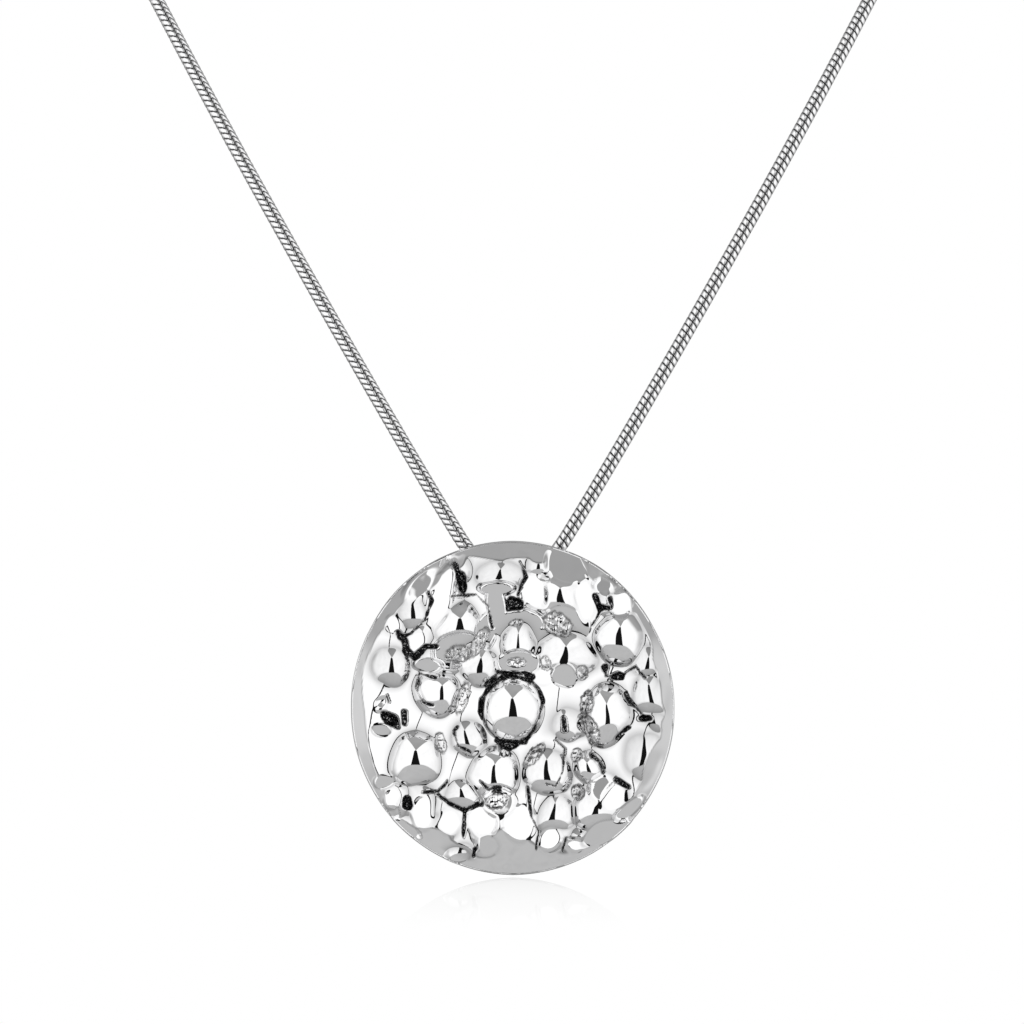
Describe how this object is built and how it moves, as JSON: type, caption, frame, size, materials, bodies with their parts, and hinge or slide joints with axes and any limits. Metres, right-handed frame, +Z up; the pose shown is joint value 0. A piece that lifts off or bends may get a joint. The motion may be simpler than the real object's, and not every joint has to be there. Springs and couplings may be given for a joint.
{
  "type": "disc pendant necklace",
  "caption": "Slightly oval metal disc with a raised, melted-looking relief, hung by a hidden ring on a round snake chain that closes in a plain barrel clasp.",
  "frame": {"origin": "middle of the clasp at the nape, where the necklace hangs on a neck", "axes": "+Z up, the disc faces -Y, +X to the right of a viewer who looks at the disc"},
  "size_m": [0.117, 0.1094, 0.1492],
  "materials": {
    "disc_metal": "high polish, plated silver-white, dark in the crevices",
    "chain_metal": "polished plated links",
    "clasp_metal": "polished plating"
  },
  "bodies": {
    "necklace": {"snake_chain": "chain_metal", "clasp": "clasp_metal"},
    "pendant": {"pendant_disc": "disc_metal"}
  },
  "joints": [
    {"name": "pendant_swing", "type": "hinge", "parent": "necklace", "child": "pendant", "pos_m": [0, -0.1017, -0.11525], "axis": [1, 0, 0], "range_deg": [-8, 150]}
  ]
}
